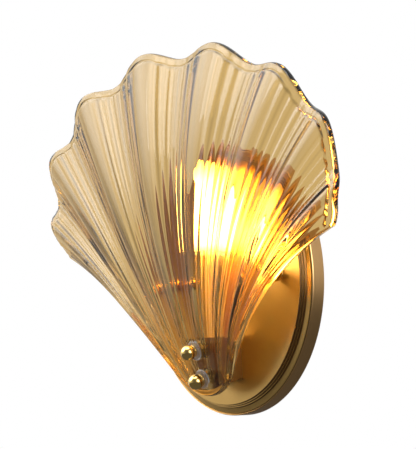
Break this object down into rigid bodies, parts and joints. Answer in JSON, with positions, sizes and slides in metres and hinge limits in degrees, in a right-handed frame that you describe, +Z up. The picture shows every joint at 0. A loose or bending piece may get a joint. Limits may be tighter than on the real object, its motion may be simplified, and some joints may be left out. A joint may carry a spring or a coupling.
{
  "type": "wall sconce",
  "caption": "Wall sconce: fluted scallop-shell glass on a small bracket with ball nuts, over a pin-base bulb, on a round stepped wall canopy.",
  "frame": {"origin": "centre of the two wall screw slots, on the wall plane at the mounting plate's back", "axes": "+Y into the wall, so the lamp stands out towards -Y; +Z up; +X along the wall"},
  "size_m": [0.25, 0.0436, 0.192],
  "materials": {
    "satin_gold": "satin brushed gold plating",
    "bronze_gold": "satin brown-gold lacquer",
    "polished_gold": "polished gold plating",
    "amber_glass": "clear champagne pressed glass",
    "clear_glass": "clear",
    "clear_plastic": "clear, glossy",
    "silicone": "translucent silicone",
    "black_rubber": "matt",
    "zinc_steel": "bright zinc",
    "ceramic": "unglazed steatite",
    "spring_bronze": "rolled strip",
    "base_plastic": "moulded",
    "block_plastic": "moulded",
    "plain_brass": "turned",
    "board": "white board",
    "chip": "yellow phosphor, lit",
    "lead_live": "brown insulation",
    "lead_neutral": "blue insulation",
    "lead_earth": "green and yellow insulation",
    "tinned": "tinned"
  },
  "bodies": {
    "wall_lamp": {"canopy": "satin_gold", "mounting_plate": "zinc_steel", "canopy_studs": "zinc_steel", "stud_lock_nuts": "zinc_steel", "canopy_ball_nuts": "polished_gold", "plate_earth_screw": "plain_brass", "earth_washer": "plain_brass", "shade_bracket": "bronze_gold", "bracket_screws": "zinc_steel", "bracket_nuts": "zinc_steel", "shade_glass": "amber_glass", "shade_screws": "zinc_steel", "shade_pads": "silicone", "clear_washers": "clear_plastic", "shade_ball_nuts": "polished_gold", "holder_cup": "satin_gold", "holder_insulator": "ceramic", "holder_contacts": "spring_bronze", "holder_screws": "zinc_steel", "lead_bush": "silicone", "terminal_block": "block_plastic", "terminal_clamps": "plain_brass", "terminal_screws": "zinc_steel", "block_screws": "zinc_steel", "lead_grommet": "black_rubber", "earth_lug": "tinned", "live_lead": "lead_live", "neutral_lead": "lead_neutral", "earth_lead": "lead_earth"},
    "bulb": {"bulb_base": "base_plastic", "bulb_pins": "tinned", "bulb_envelope": "clear_glass", "bulb_core": "board", "bulb_chips": "chip"}
  },
  "joints": [
    {"name": "bulb_pull", "type": "slide", "parent": "wall_lamp", "child": "bulb", "axis": [0, 0, 1], "range_m": [0, 0.04]}
  ]
}
